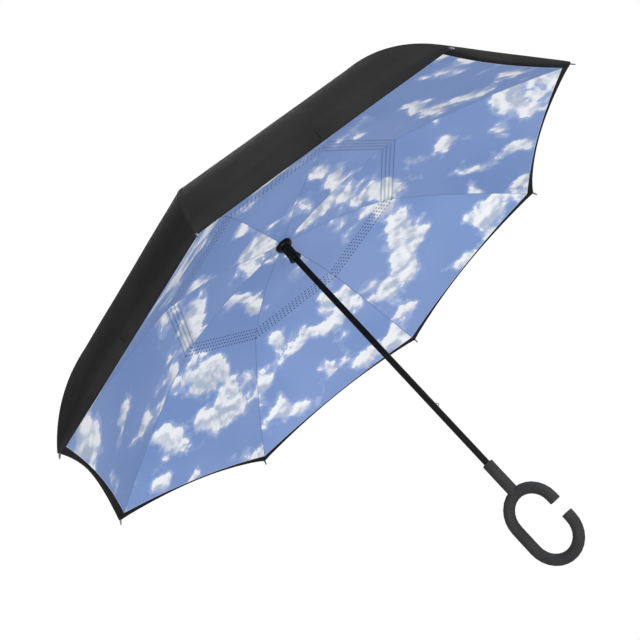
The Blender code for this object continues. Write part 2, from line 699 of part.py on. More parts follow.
def cloth_mesh(profile, name):
    """A shell of flat panels between the ribs, from a rib line of (r, z) points, hemmed in a curve."""
    bm = bmesh.new()
    inner, outer = profile[0][0], profile[-1][0]
    rings = []
    for k, (r, z) in enumerate(profile):
        share = (r - inner) / (outer - inner)
        ring = []
        for rib in range(RIB_COUNT):
            a, b = RIB_AZIMUTH + RIB_STEP * rib, RIB_AZIMUTH + RIB_STEP * (rib + 1)
            for i in range(PANEL_STEPS):
                across = i / PANEL_STEPS
                pull = HEM_SAG * 4 * across * (1 - across) * share**HEM_SAG_POWER
                reach = r - pull
                x = reach * ((1 - across) * math.cos(a) + across * math.cos(b))
                y = reach * ((1 - across) * math.sin(a) + across * math.sin(b))
                ring.append(bm.verts.new((x, y, z - pull * profile_slope(profile, k))))
        rings.append(ring)
    count = RIB_COUNT * PANEL_STEPS
    for low, high in zip(rings, rings[1:]):
        for i in range(count):
            j = (i + 1) % count
            bm.faces.new((low[i], high[i], high[j], low[j]))
    bmesh.ops.recalc_face_normals(bm, faces=bm.faces)
    if sum(face.normal.z for face in bm.faces) < 0:
        bmesh.ops.reverse_faces(bm, faces=bm.faces)
    mesh = bpy.data.meshes.new(name)
    bm.to_mesh(mesh)
    bm.free()
    return mesh


def profile_slope(profile, k):
    """Slope of a rib line just inside one of its points."""
    if k == 0:
        return 0.0
    return (profile[k][1] - profile[k - 1][1]) / (profile[k][0] - profile[k - 1][0])


def add_cloth(name, profile, finish):
    """A cloth shell, given its thickness by a modifier."""
    thing = place(name, cloth_mesh(profile, name), finish)
    wall = thing.modifiers.new("thickness", "SOLIDIFY")
    wall.thickness = CLOTH
    wall.offset = 0.0
    wall.use_even_offset = True
    return thing


def make_finishes():
    return {
        "coat": material("black_coat", (0.012, 0.012, 0.013), 0.28, 0.3),
        "rubber": material("soft_grey_rubber", (0.045, 0.045, 0.046), 0.62),
        "plastic": material("black_plastic", (0.010, 0.010, 0.011), 0.35),
        "gloss": material("glossy_black_plastic", (0.006, 0.006, 0.007), 0.12),
        "steel": material("blackened_steel", (0.05, 0.05, 0.055), 0.40, 0.9),
        "bright": material("zinc_steel", (0.42, 0.43, 0.45), 0.32, 1.0),
        "glass": material("fibreglass", (0.02, 0.02, 0.022), 0.45),
        "black_cloth": material("black_cloth", (0.030, 0.030, 0.032), 0.80),
        "blue_cloth": material("blue_cloth", (0.18, 0.30, 0.60), 0.75),
    }


def add_shaft_group(finish):
    """Everything that stays with the shaft."""
    place("shaft", shaft_mesh(), finish["coat"])
    place("handle", handle_mesh(), finish["rubber"])
    place("top_notch", notch_mesh(), finish["plastic"])
    place("ferrule", ferrule_mesh(), finish["plastic"])
    wire = torus(NOTCH_PIVOT_R, HUB_WIRE_R, NOTCH_PIVOT_Z, HUB_WIRE_STEPS, WIRE_SIDES, "notch_wire")
    place("notch_wire", wire, finish["bright"])
    place("runner_stop_pin", cross_hole(stop_pin_z(), PIN_R, STOP_PIN_LENGTH), finish["bright"])
    place("notch_pin", cross_hole(notch_pin_z(), PIN_R, NOTCH_PIN_LENGTH), finish["bright"])
    for name, (z, up) in zip(("lower_catch", "upper_catch"), catch_places()):
        hook = up * CATCH_TAIL
        mesh = catch_mesh(up)
        mesh.transform(Matrix.Translation((-CATCH_TAIL_X, 0, -hook)))
        place(name, mesh, finish["steel"], matrix=Matrix.Translation((CATCH_TAIL_X, 0, z + hook)))


def add_runner_group(finish):
    """The runner and what slides with it."""
    axis = empty("runner_axis", Matrix.Translation((0, 0, RUNNER_PIVOT_Z)))
    back = Matrix.Translation((0, 0, -RUNNER_PIVOT_Z))
    place("runner", runner_mesh(), finish["plastic"], axis, back)
    place("lining_disc", disc_mesh(), finish["gloss"], axis, back)
    wire = torus(RUNNER_PIVOT_R, HUB_WIRE_R, RUNNER_PIVOT_Z, HUB_WIRE_STEPS, WIRE_SIDES, "runner_wire")
    place("runner_wire", wire, finish["bright"], axis, back)


def add_ribs(finish):
    """Eight sets of channel, joint piece, rod, tip and stretcher, each hung on its own hinge."""
    meshes = [channel_mesh(), joint_mesh(), rod_mesh(), tip_mesh(), stretcher_mesh()]
    channel, joint, rod, tip, stretcher = meshes
    rib_slope, _ = rib_line()
    stretcher_slope, _ = stretcher_line()
    tip_slope = (arc_angle(ROD_STEPS - 1) + arc_angle(ROD_STEPS)) / 2
    for i in range(RIB_COUNT):
        turn = Matrix.Rotation(RIB_AZIMUTH + RIB_STEP * i, 4, "Z")
        number = i + 1
        rib_place = turn @ Matrix.Translation((RUNNER_PIVOT_R, 0, RUNNER_PIVOT_Z))
        rib_place = rib_place @ Matrix.Rotation(-rib_slope, 4, "Y")
        rib_axis = empty(f"rib_axis_{number}", rib_place)
        place(f"rib_channel_{number}", channel, finish["steel"], rib_axis, Matrix.Identity(4))
        place(f"rib_joint_{number}", joint, finish["plastic"], rib_axis, Matrix.Identity(4))
        rod_axis = empty(f"rod_axis_{number}", turn @ Matrix.Translation((JOINT_R, 0, JOINT_Z)))
        place(f"rib_rod_{number}", rod, finish["glass"], rod_axis, Matrix.Identity(4))
        tip_place = Matrix.Translation((RIM_R - JOINT_R, 0, RIM_Z - JOINT_Z))
        tip_place = tip_place @ Matrix.Rotation(tip_slope, 4, "Y")
        place(f"rib_tip_{number}", tip, finish["bright"], rod_axis, tip_place)
        notch_place = turn @ Matrix.Translation((NOTCH_PIVOT_R, 0, NOTCH_PIVOT_Z))
        notch_place = notch_place @ Matrix.Rotation(-stretcher_slope, 4, "Y")
        notch_axis = empty(f"stretcher_axis_{number}", notch_place)
        place(f"stretcher_{number}", stretcher, finish["steel"], notch_axis, Matrix.Identity(4))


def main():
    clear_scene()
    finish = make_finishes()
    add_shaft_group(finish)
    add_runner_group(finish)
    add_ribs(finish)
    add_cloth("outer_canopy", canopy_profile(), finish["black_cloth"])
    add_cloth("lining_canopy", lining_profile(), finish["blue_cloth"])


main()
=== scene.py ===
import math

import bpy
import numpy as np
from mathutils import Matrix, Vector


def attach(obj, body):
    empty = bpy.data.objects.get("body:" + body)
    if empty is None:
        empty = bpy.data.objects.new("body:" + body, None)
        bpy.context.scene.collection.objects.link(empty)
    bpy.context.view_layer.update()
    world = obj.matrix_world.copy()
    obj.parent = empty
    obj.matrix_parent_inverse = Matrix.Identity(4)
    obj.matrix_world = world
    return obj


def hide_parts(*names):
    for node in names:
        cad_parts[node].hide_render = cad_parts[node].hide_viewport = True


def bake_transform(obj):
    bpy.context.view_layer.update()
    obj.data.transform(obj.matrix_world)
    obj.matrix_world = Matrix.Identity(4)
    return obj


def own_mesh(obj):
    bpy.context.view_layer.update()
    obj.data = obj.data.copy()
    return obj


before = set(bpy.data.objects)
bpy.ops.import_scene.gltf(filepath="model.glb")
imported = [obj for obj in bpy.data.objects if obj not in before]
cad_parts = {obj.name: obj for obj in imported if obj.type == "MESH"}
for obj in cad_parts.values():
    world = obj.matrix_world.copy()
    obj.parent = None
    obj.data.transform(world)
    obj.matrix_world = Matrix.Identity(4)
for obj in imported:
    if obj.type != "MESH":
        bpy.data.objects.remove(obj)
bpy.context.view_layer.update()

# Layout shared with the frame: the ribs' angles, and heights and distances from the shaft in metres
RIBS = 8
STEP = 2 * math.pi / RIBS
HALF = STEP / 2
AZIMUTH = math.radians(16.5)
JOINT_R, JOINT_Z = 0.2345, 0.6473
RIM_R, RIM_Z = 0.530, 0.4833
ROD_SLOPE = math.radians(2.0)
ROD_R = 0.0015
CLOTH_LIFT = 0.0031
CANOPY_TOP_Z = 0.7164
FLANGE_R = 0.0145 / math.cos(HALF)
CANOPY_HOLE_R = 0.0057 / math.cos(HALF)
LINING_Z = 0.6222
DISC_R = 0.0155 / math.cos(HALF)
LINING_HOLE_R = 0.0093 / math.cos(HALF)
RING_R, RING_Z = 0.2548, 0.6078

# The frame's two cloths, which the pieces here replace, and their slots
CANOPY_NODE = ("outer_canopy", "black_cloth")
LINING_NODE = ("lining_canopy", "blue_cloth")

# The rod's chord from joint to rim, and the arc over it
ROD_REACH, ROD_DROP = RIM_R - JOINT_R, JOINT_Z - RIM_Z
CHORD_SLOPE = math.atan2(ROD_DROP, ROD_REACH)
ARC_RADIUS = math.hypot(ROD_REACH, ROD_DROP) / (2 * math.sin(CHORD_SLOPE + ROD_SLOPE))
ARC_FIRST, ARC_LAST = -ROD_SLOPE, 2 * CHORD_SLOPE + ROD_SLOPE
ARC_R, ARC_Z = JOINT_R - ARC_RADIUS * math.sin(ARC_FIRST), JOINT_Z - ARC_RADIUS * math.cos(ARC_FIRST)

# Slopes of the rib lines, the share of the arc where the outer canopy first touches it, and steps per curve
CANOPY_TOP_SLOPE = -0.30
TOUCH_SHARE = 1 / 8
DISC_SLOPE, RING_INNER_SLOPE = 0.05, -0.22
RING_OUTER_SLOPE, LINING_RIM_SLOPE = -0.36, -0.56
INNER_STEPS, OUTER_STEPS, ARC_STEPS = 40, 50, 60

# The rod's mesh, and the share of the arc at which it starts and that it covers
ROD_SIDES, ROD_PARTS = 8, 28
ROD_START_SHARE, ROD_COVER_SHARE = 0.006, 0.99

# Cloth: how its edges curve, its seams and ripples, and how finely it is divided
HEM_SAG, HEM_SAG_POWER = 0.0160, 4
LINING_INSET, INSET_FADE = 0.0100, 2.6
SEAM_WIDTH, SEAM_HEIGHT, SEAM_SPREAD = 0.0025, 0.0004, 1.3
SEAM_MOST_SHARE, SEAM_EDGE_SHARE = 0.25, 0.6
RIPPLE, RIPPLE_FADE = 0.0005, 0.03
RIPPLE_PER_METRE, RIPPLE_CROSSING = 61, 23
RIPPLE_PER_RIB, RIPPLE_PER_SHARE = 1.7, 3.1
ROW_STEP, FEWEST_ROWS = 0.0070, 4
SIDE_COLUMNS, WHOLE_COLUMNS, STRIP_COLUMNS = 10, 11, 4

# The print: each gore is cut from a part of the cloth that lies this far along and up from the last one's
GORE_SHIFT_U, GORE_SHIFT_V = 1.3, 0.47
HEM_UV_WIDTH, HEM_UV_ROW = 0.2, 0.004

# Rows across the turned hem, on the outer canopy, round the edge and on the lining. On a cloth, a row has
# its distance back from the edge and its lift. Round the edge, it has its share of the way up.
HEM_ROWS = (
    ("canopy", 0.0100, 0.0004),
    ("canopy", 0.0050, 0.0005),
    ("canopy", 0.0, 0.0004),
    ("edge", 0.75, 0),
    ("edge", 0.5, 0),
    ("edge", 0.25, 0),
    ("lining", 0.0, 0.0006),
    ("lining", 0.0080, 0.0006),
    ("lining", 0.0200, 0.0008),
)
HEM_ROLL, HEM_ROLL_OUT, HEM_ROLL_DOWN = 0.0012, 0.86, 0.5

# How the bars turn when the umbrella closes
PIVOT_R, PIVOT_Z = 0.011, 0.6313
INNER_TURN, OUTER_TURN = math.radians(83.78), math.radians(115.18)

# Where the cloth is cut into pieces, where these bend, and how they fold in between the bars
PARTS = {-1: "right", 0: "strip", 1: "left"}
CANOPY_CENTRE_R = 0.036
NECK_R, LINING_CENTRE_R = 0.0180, 0.0275
BEND_START, BEND_END = 0.205, 0.265
STRIP_FIT_SHARE, STRIP_MOST_SHARE, STRIP_ROUNDS = 0.998, 0.96, 12

# Half the width of the outer canopy's strip on the rod, at the joint, and how much it grows to the rim
ROD_STRIP, ROD_STRIP_GROWTH = 0.0050, 0.0095

# Ventilation holes in the lining
HOLE_PITCH, HOLE_ROWS = 0.0077, 4
HOLE_R, HOLE_SOFTNESS = 0.00170, 0.15

# Colours that vary between a dark and a light tone
BLACK_CLOTH = (0.0155, 0.0155, 0.0160), (0.0222, 0.0222, 0.0228)
SKY_BLUE = (0.145, 0.234, 0.472), (0.193, 0.282, 0.525)
CLOUD_WHITE = (0.37, 0.42, 0.53), (0.76, 0.77, 0.79)
DEEP_BLACK = (0.0040, 0.0040, 0.0044), (0.0060, 0.0060, 0.0064)
GLOSS_BLACK = (0.0020, 0.0020, 0.0022), (0.0030, 0.0030, 0.0033)
GLASS_BLACK = (0.014, 0.014, 0.015), (0.024, 0.024, 0.026)
RUBBER_GREY = (0.024, 0.024, 0.0245), (0.031, 0.031, 0.0315)
STEEL_GREY = (0.035, 0.035, 0.038), (0.060, 0.060, 0.064)
ZINC_GREY = (0.11, 0.11, 0.12), (0.17, 0.17, 0.18)
PAPER_WHITE = (0.80, 0.80, 0.80), (0.84, 0.84, 0.84)

# Single colours
HAZE, PALE_EDGE = (0.62, 0.68, 0.82), (0.75, 0.78, 0.84)
THREAD_BLUE, HOLE_BLUE = (0.060, 0.100, 0.240), (0.012, 0.020, 0.045)
WORLD_GREY, WHITE = (0.43, 0.44, 0.455), (1.0, 1.0, 1.0)

# How the clouds lie on the cloth, the step aside that finds their lit edges, and how much they gather
CLOUD_STRETCH, CLOUD_TURN = (0.95, 1.10, 1), 0.5
CLOUD_SHIFT, CLOUD_LIGHT_STEP = (3.1, 7.7), (0.006, -0.011)
CLUSTER_WEIGHT = 0.85

# Width of the pale line at the lining's edge, and distances from a rib where its thread ends
EDGE_WIDTH = 0.0010
THREAD_INSIDE, THREAD_OUTSIDE = 0.0006, 0.0014

# Relief of the cloths. The bands of a wave texture at scale 1 have the period given.
WAVE_PERIOD, WEAVE_PITCH, WEAVE_SHARE = 0.314, 0.0007, 0.15
CLOTH_RELIEF = 0.0012

# How much the roughness of a solid varies
GLOSS_SPREAD = 0.12

# Sockets of a colour mix node, which has several of each name
MIX_A, MIX_B, MIX_RESULT = 6, 7, 2

# Camera, fitted to the rib tips, the ring of holes, the shaft and the handle
CAMERA_PLACE = (0.67614, -1.54033, -0.09957)
CAMERA_RIGHT = (0.57359, 0.51096, -0.64025)
CAMERA_UP = (0.71446, 0.07025, 0.69614)
CAMERA_LENS, CAMERA_SENSOR = 60.794, 36.0
CLIP_START, CLIP_END = 0.05, 50

# Square lamps: place, the point aimed at, width in metres, and watts
LAMPS = {
    "key": ((2.0, 0.35, 1.73), (0, 0, 0.55), 1.4, 85),
    "fill": ((0.9, -2.2, -0.4), (0, 0, 0.55), 1.8, 56),
    "rim": ((-0.6, 1.6, 2.2), (0, 0, 0.6), 1.2, 30),
}

# Floor
FLOOR_R, FLOOR_Z, FLOOR_SIDES = 15.0, -1.3, 96


# Rib lines

def on_arc(angle, lift=0.0):
    """Point (r, z) on the bent rod's arc, or at a distance outside it."""
    radius = ARC_RADIUS + lift
    return ARC_R + radius * math.sin(angle), ARC_Z + radius * math.cos(angle)


def cubic(start, start_slope, end, end_slope, count):
    """Points (r, z) along the cubic between two points with the given slopes, the last left out."""
    width = end[0] - start[0]
    points = []
    for i in range(count):
        t = i / count
        height = (2 * t**3 - 3 * t**2 + 1) * start[1] + (3 * t**2 - 2 * t**3) * end[1]
        bend = (t**3 - 2 * t**2 + t) * start_slope + (t**3 - t**2) * end_slope
        points.append((start[0] + width * t, height + width * bend))
    return points


def canopy_line():
    """The outer canopy's rib line, finely stepped."""
    touch = ARC_FIRST + (ARC_LAST - ARC_FIRST) * TOUCH_SHARE
    top, end = (FLANGE_R, CANOPY_TOP_Z), on_arc(touch, CLOTH_LIFT)
    line = [(CANOPY_HOLE_R, CANOPY_TOP_Z)]
    line += cubic(top, CANOPY_TOP_SLOPE, end, -math.tan(touch), INNER_STEPS)
    for i in range(ARC_STEPS + 1):
        line.append(on_arc(touch + (ARC_LAST - touch) * i / ARC_STEPS, CLOTH_LIFT))
    return np.array(line)


def lining_line():
    """The lining's rib line, finely stepped."""
    disc, ring, rim = (DISC_R, LINING_Z), (RING_R, RING_Z), on_arc(ARC_LAST, -CLOTH_LIFT)
    line = [(LINING_HOLE_R, LINING_Z)]
    line += cubic(disc, DISC_SLOPE, ring, RING_INNER_SLOPE, INNER_STEPS)
    line += cubic(ring, RING_OUTER_SLOPE, rim, LINING_RIM_SLOPE, OUTER_STEPS) + [rim]
    return np.array(line)


def lengths(line):
    """Distance along a rib line at each of its points."""
    return np.concatenate([[0], np.cumsum(np.hypot(*np.diff(line, axis=0).T))])


CANOPY, LINING = canopy_line(), lining_line()
RING_V = float(np.interp(RING_R, LINING[:, 0], lengths(LINING)) * math.cos(HALF))


# Places round the shaft

def rib_angle(rib):
    return AZIMUTH + STEP * (rib - 1)


def rib_turn(rib):
    """Turns a point from a rib's frame to where the rib stands."""
    return Matrix.Rotation(rib_angle(rib), 3, "Z")


# Surface of a cloth. Rho is a row's distance from the shaft. Share is 0 on the rib and 1 or -1 at mid panel.

def surface(line, rho, share):
    """Point (x, y, z) in a rib's frame."""
    across = abs(share)
    x = rho * (1 - across * math.sin(HALF) ** 2)
    y = rho * share * math.sin(HALF) * math.cos(HALF)
    return x, y, np.interp(rho, line[:, 0], line[:, 1])


def widest(rho):
    """Distance from a rib's plane to the middle of the panel beside it."""
    return rho * math.sin(HALF) * math.cos(HALF)


def sag(share):
    """How much the rim is drawn in towards the middle of a panel."""
    a = abs(share) / 2
    return HEM_SAG * 4 * a * (1 - a)


def hem_pull(line, rho, share):
    """How much a row is drawn in with the rim."""
    inner, outer = line[0, 0], line[-1, 0]
    return sag(share) * ((rho - inner) / (outer - inner)) ** HEM_SAG_POWER


def edge_inset(line, rho, share):
    """How far the lining stops short of the rim, most at the tips."""
    if line is not LINING or rho < JOINT_R:
        return 0.0
    a = abs(share) / 2
    return LINING_INSET * (rho - JOINT_R) / (line[-1, 0] - JOINT_R) * (1 - INSET_FADE * a * (1 - a))


def drawn_in(line, rho, share):
    """Where a row lies after the hem's curve and the inset are taken off."""
    return rho - hem_pull(line, rho, share) - edge_inset(line, rho, share)


def ripple_at(rib, rho, share, edge):
    """Slight pulls in tensioned cloth, which fade at a piece's edge, at mid panel and at the joint."""
    fade = math.sin(math.pi * (abs(share) - edge) / (1 - edge)) ** 2
    fade = fade * min(abs(rho - JOINT_R) / RIPPLE_FADE, 1.0)
    wave = math.sin(rho * RIPPLE_PER_METRE + rib * RIPPLE_PER_RIB + share * RIPPLE_PER_SHARE)
    return fade * wave * math.cos(rho * RIPPLE_CROSSING - rib)


# Cuts between the pieces, as the share at which a piece on the rib ends

def whole(rho):
    """The piece goes from mid panel to mid panel."""
    return 1.0


def closed_radius(x, z):
    """Distance from the shaft, in a rib's plane, at which a point of the lining ends when closed."""
    a, b = INNER_TURN, OUTER_TURN
    joint_r = PIVOT_R + (JOINT_R - PIVOT_R) * math.cos(a) - (JOINT_Z - PIVOT_Z) * math.sin(a)
    inner = PIVOT_R + (x - PIVOT_R) * math.cos(a) - (z - PIVOT_Z) * math.sin(a)
    outer = joint_r + (x - JOINT_R) * math.cos(b) - (z - JOINT_Z) * math.sin(b)
    s = min(max((x - BEND_START) / (BEND_END - BEND_START), 0.0), 1.0)
    return inner + (outer - inner) * s * s * (3 - 2 * s)


def lining_strip(rho):
    """Share at which neighbouring strips meet when the umbrella is closed, found by repetition."""
    share, spread = 0.5, math.tan(HALF)
    for _ in range(STRIP_ROUNDS):
        here = drawn_in(LINING, rho, share)
        z = np.interp(here, LINING[:, 0], LINING[:, 1])
        half_width = STRIP_FIT_SHARE * spread * closed_radius(here - spread * share * widest(here), z)
        share = float(min(half_width / widest(here), STRIP_MOST_SHARE))
    return share


def canopy_strip(rho):
    """Share of the outer canopy that stays on the rod when the umbrella is closed."""
    return (ROD_STRIP + ROD_STRIP_GROWTH * (rho - JOINT_R) / ROD_REACH) / widest(rho)


# Pieces of cloth

def shares_across(rho, side, edge):
    """Shares across a piece: on both sides of the rib out to an edge, or from there to mid panel."""
    if side:
        steps = [edge + (1 - edge) * i / SIDE_COLUMNS for i in range(SIDE_COLUMNS + 1)]
        return steps if side > 0 else [-s for s in reversed(steps)]
    most = min(SEAM_MOST_SHARE, SEAM_EDGE_SHARE * edge) / SEAM_SPREAD
    seam = min(SEAM_WIDTH / widest(rho), most)
    foot = seam * SEAM_SPREAD
    count = WHOLE_COLUMNS if edge == 1 else STRIP_COLUMNS
    steps = [seam, foot] + [foot + (edge - foot) * i / count for i in range(1, count + 1)]
    return [-s for s in reversed(steps)] + [0.0] + steps


def rows_between(start, end):
    count = max(FEWEST_ROWS, round((end - start) / ROW_STEP))
    return [start + (end - start) * i / count for i in range(count + 1)]


def printed_at(gore, u, v):
    """Where a spot of a gore lies on the printed cloth."""
    number = (gore - 1) % RIBS
    return u + GORE_SHIFT_U * number, v + GORE_SHIFT_V * number


def grid_mesh(name, points, uvs, marks, side):
    """A sheet from a grid of points [row][column]. A point has two uvs, for the gores before and after."""
    rows, columns = len(points), len(points[0])
    rib_column = {-1: columns, 0: columns // 2, 1: 0}[side]
    vertices = [p for row in points for p in row]
    faces = []
    for i in range(rows - 1):
        for j in range(columns - 1):
            a = i * columns + j
            faces.append((a, a + 1, a + columns + 1, a + columns))
    mesh = bpy.data.meshes.new(name)
    mesh.from_pydata(vertices, [], faces)
    layer = mesh.uv_layers.new(name="cloth")
    for face in mesh.polygons:
        i, j = divmod(face.index, columns - 1)
        gore = 0 if j < rib_column else 1
        spots = ((i, j), (i, j + 1), (i + 1, j + 1), (i + 1, j))
        for loop, (r, c) in zip(face.loop_indices, spots):
            layer.data[loop].uv = uvs[r][c][gore]
    for title, values in marks.items():
        made = mesh.attributes.new(title, "FLOAT", "POINT")
        made.data.foreach_set("value", np.array(values, np.float32))
    mesh.shade_smooth()
    return mesh


def add(name, mesh, finish):
    thing = bpy.data.objects.new(name, mesh)
    bpy.context.collection.objects.link(thing)
    mesh.materials.append(finish)
    return thing


def laid_flat(points):
    """Width and length of a grid of points laid flat, and its area."""
    grid = np.array([[list(p) for p in row] for row in points])
    width = np.linalg.norm(np.diff(grid, axis=1), axis=2).sum(axis=1).max()
    length = np.linalg.norm(np.diff(grid, axis=0), axis=2).sum(axis=0).max()
    crossed = np.cross(grid[1:, 1:] - grid[:-1, :-1], grid[1:, :-1] - grid[:-1, 1:])
    return (float(width), float(length)), float(0.5 * np.linalg.norm(crossed, axis=2).sum())


def cloth(name, rib, line, rows, finish, side=0, edge=whole, ridge=0.0, ripple=0.0):
    """A piece of cloth on the rows given, on the rib or to one side of it, with its flat size and area."""
    along, turn = lengths(line), rib_turn(rib)
    points, uvs, marks = [], [], {"rim": [], "seam": []}
    for rho in rows:
        limit = edge(rho)
        shares = shares_across(rho, side, limit)
        row, uv_row = [], []
        for n, share in enumerate(shares):
            here = drawn_in(line, rho, share)
            x, y, z = surface(line, here, share)
            if not side and abs(n - len(shares) // 2) <= 1:
                z += ridge
            z += ripple * ripple_at(rib, here, share, limit if side else 0.0)
            row.append(turn @ Vector((x, y, z)))
            u = (1 - abs(share)) * (here * math.sin(HALF))
            v = np.interp(here, line[:, 0], along) * math.cos(HALF)
            uv_row.append((printed_at(rib - 1, u, v), printed_at(rib, -u, v)))
            marks["rim"].append(drawn_in(line, line[-1, 0], share) - here)
            marks["seam"].append(abs(y))
        points.append(row)
        uvs.append(uv_row)
    thing = add(name, grid_mesh(name, points, uvs, marks, side), finish)
    return thing, *laid_flat(points)


# Materials

def nodes_of(name):
    """A new material, its node tree and its shader."""
    made = bpy.data.materials.new(name)
    made.use_nodes = True
    tree = made.node_tree
    return made, tree, tree.nodes["Principled BSDF"]


def link(tree, a, b):
    tree.links.new(a, b)


def value_math(tree, operation, *items):
    """A maths node whose inputs are numbers or sockets; its output."""
    node = tree.nodes.new("ShaderNodeMath")
    node.operation = operation
    for item, socket in zip(items, node.inputs):
        if isinstance(item, (int, float)):
            socket.default_value = item
        else:
            link(tree, item, socket)
    return node.outputs[0]


def noise(tree, vector, scale, detail, roughness=0.55, distortion=0.0):
    node = tree.nodes.new("ShaderNodeTexNoise")
    node.inputs["Scale"].default_value = scale
    node.inputs["Detail"].default_value = detail
    node.inputs["Roughness"].default_value = roughness
    node.inputs["Distortion"].default_value = distortion
    link(tree, vector, node.inputs["Vector"])
    return node.outputs["Fac"]


def soft_step(tree, value, low, high):
    """Goes smoothly from zero at the low value to one at the high one."""
    node = tree.nodes.new("ShaderNodeMapRange")
    node.interpolation_type = "SMOOTHSTEP"
    node.inputs["From Min"].default_value = low
    node.inputs["From Max"].default_value = high
    link(tree, value, node.inputs["Value"])
    return node.outputs["Result"]


def mix_colour(tree, share, a, b):
    """A colour between a and b, which are colours or sockets."""
    node = tree.nodes.new("ShaderNodeMix")
    node.data_type = "RGBA"
    link(tree, share, node.inputs["Factor"])
    for item, socket in ((a, node.inputs[MIX_A]), (b, node.inputs[MIX_B])):
        if isinstance(item, tuple):
            socket.default_value = (*item, 1.0)
        else:
            link(tree, item, socket)
    return node.outputs[MIX_RESULT]


def tint(tree, colour, mask, strength, tone):
    """The colour with a tone laid over it, at the given strength where the mask is one."""
    return mix_colour(tree, value_math(tree, "MULTIPLY", mask, strength), colour, tone)


def mapped(tree, source, scale, turn=0.0, shift=(0, 0, 0)):
    node = tree.nodes.new("ShaderNodeMapping")
    node.inputs["Scale"].default_value = scale
    node.inputs["Rotation"].default_value = (0, 0, turn)
    node.inputs["Location"].default_value = shift
    link(tree, source, node.inputs["Vector"])
    return node.outputs["Vector"]


def bump(tree, shader, height, strength, distance):
    node = tree.nodes.new("ShaderNodeBump")
    node.inputs["Strength"].default_value = strength
    node.inputs["Distance"].default_value = distance
    link(tree, height, node.inputs["Height"])
    link(tree, node.outputs["Normal"], shader.inputs["Normal"])


def uneven_gloss(tree, shader, place, scale, detail, low, spread):
    """Roughness that varies by noise, from low to at most low plus spread."""
    rough = value_math(tree, "MULTIPLY_ADD", noise(tree, place, scale, detail), spread, low)
    link(tree, rough, shader.inputs["Roughness"])


def object_place(tree):
    return tree.nodes.new("ShaderNodeTexCoord").outputs["Object"]


def cloth_place(tree):
    """Where a spot lies on the flat cloth."""
    node = tree.nodes.new("ShaderNodeUVMap")
    node.uv_map = "cloth"
    return node.outputs["UV"]


def mark(tree, title):
    """A distance kept in the mesh: from the rim, or from the seam on the rib."""
    node = tree.nodes.new("ShaderNodeAttribute")
    node.attribute_name = title
    return node.outputs["Fac"]


def plain_finish(name, tones, roughness, metallic=0.0, grain=900.0, depth=0.00001, shine=0.25):
    """A solid finish: two close tones, uneven gloss and a fine grain, all by noise in object space."""
    made, tree, shader = nodes_of(name)
    place = object_place(tree)
    tone = soft_step(tree, noise(tree, place, scale=35.0, detail=5.0), low=0.3, high=0.7)
    link(tree, mix_colour(tree, tone, *tones), shader.inputs["Base Color"])
    low = roughness - GLOSS_SPREAD / 2
    uneven_gloss(tree, shader, place, scale=120.0, detail=3.0, low=low, spread=GLOSS_SPREAD)
    shader.inputs["Metallic"].default_value = metallic
    shader.inputs["Specular IOR Level"].default_value = shine
    bump(tree, shader, noise(tree, place, scale=grain, detail=2.0), strength=0.25, distance=depth)
    return made


def weave(tree, place):
    """Height of a fine plain weave."""
    heights = []
    for direction in ("X", "Y"):
        node = tree.nodes.new("ShaderNodeTexWave")
        node.wave_type = "BANDS"
        node.bands_direction = direction
        node.inputs["Scale"].default_value = WAVE_PERIOD / WEAVE_PITCH
        node.inputs["Distortion"].default_value = 0.6
        node.inputs["Detail"].default_value = 1.0
        link(tree, place, node.inputs["Vector"])
        heights.append(node.outputs["Fac"])
    return value_math(tree, "MULTIPLY", *heights)


def cloth_relief(tree, shader, place, squeeze, scale, strength):
    """A fine weave on slight pulls, which are drawn out along the gore."""
    pulls = noise(tree, mapped(tree, place, (1, squeeze, 1)), scale, detail=2.0)
    height = value_math(tree, "MULTIPLY_ADD", weave(tree, place), WEAVE_SHARE, pulls)
    bump(tree, shader, height, strength, distance=CLOTH_RELIEF)


def black_cloth(name):
    made, tree, shader = nodes_of(name)
    place = cloth_place(tree)
    tone = soft_step(tree, noise(tree, place, scale=9.0, detail=4.0), low=0.25, high=0.75)
    link(tree, mix_colour(tree, tone, *BLACK_CLOTH), shader.inputs["Base Color"])
    shader.inputs["Specular IOR Level"].default_value = 0.004
    uneven_gloss(tree, shader, place, scale=60.0, detail=2.0, low=0.62, spread=0.10)
    cloth_relief(tree, shader, place, squeeze=0.2, scale=45.0, strength=0.20)
    return made


def vent_holes(tree, place):
    """Rows of small round holes along the straight edge of each gore's ring, on a square grid."""
    parts = tree.nodes.new("ShaderNodeSeparateXYZ")
    link(tree, place, parts.inputs[0])
    u, v = parts.outputs["X"], parts.outputs["Y"]
    number = value_math(tree, "ROUND", value_math(tree, "DIVIDE", u, GORE_SHIFT_U))
    across = value_math(tree, "SUBTRACT", u, value_math(tree, "MULTIPLY", number, GORE_SHIFT_U))
    up = value_math(tree, "SUBTRACT", v, value_math(tree, "MULTIPLY", number, GORE_SHIFT_V))
    cell = value_math(tree, "FRACT", value_math(tree, "MULTIPLY", across, 1 / HOLE_PITCH))
    aside = value_math(tree, "MULTIPLY", value_math(tree, "SUBTRACT", cell, 0.5), HOLE_PITCH)
    total = None
    for row in range(HOLE_ROWS):
        off = value_math(tree, "SUBTRACT", up, RING_V - row * HOLE_PITCH)
        squares = [value_math(tree, "MULTIPLY", span, span) for span in (aside, off)]
        far = value_math(tree, "SQRT", value_math(tree, "ADD", *squares))
        hole = soft_step(tree, far, low=HOLE_R * (1 + HOLE_SOFTNESS), high=HOLE_R * (1 - HOLE_SOFTNESS))
        total = hole if total is None else value_math(tree, "MAXIMUM", total, hole)
    return total


